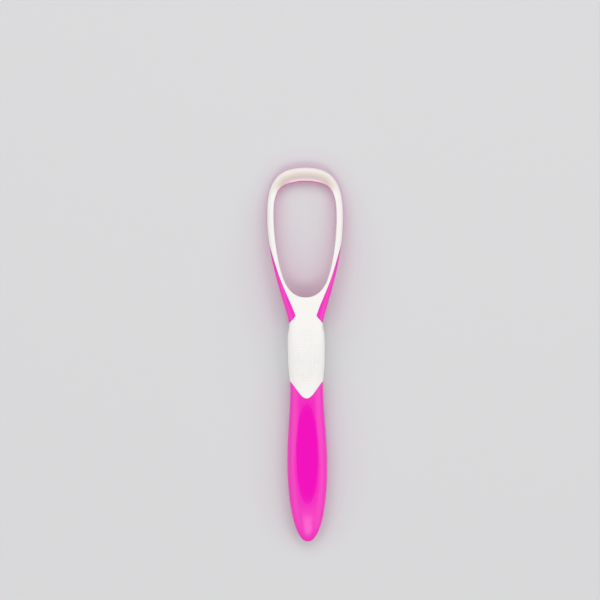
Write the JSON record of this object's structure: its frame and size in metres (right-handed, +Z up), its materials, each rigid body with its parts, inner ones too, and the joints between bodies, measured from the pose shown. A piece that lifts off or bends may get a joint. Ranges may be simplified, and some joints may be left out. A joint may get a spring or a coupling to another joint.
{
  "type": "tongue scraper",
  "caption": "Hand-held tongue scraper: rigid moulded handle and teardrop loop with a soft overmoulded rim, neck and leaf-shaped thumb pad.",
  "frame": {"origin": "on the surface that the tool lies on, at the middle of its length and width", "axes": "+Y along the tool towards the loop's top, +Z up out of the thumb side, +X to the right seen from the front"},
  "size_m": [0.0326, 0.161, 0.0121],
  "materials": {
    "magenta_plastic": "glossy moulded plastic, coloured through",
    "white_soft": "satin soft-touch elastomer, nubbed on the thumb pad"
  },
  "bodies": {
    "root": {"handle_frame": "magenta_plastic", "soft_grip_rim": "white_soft"}
  },
  "joints": []
}
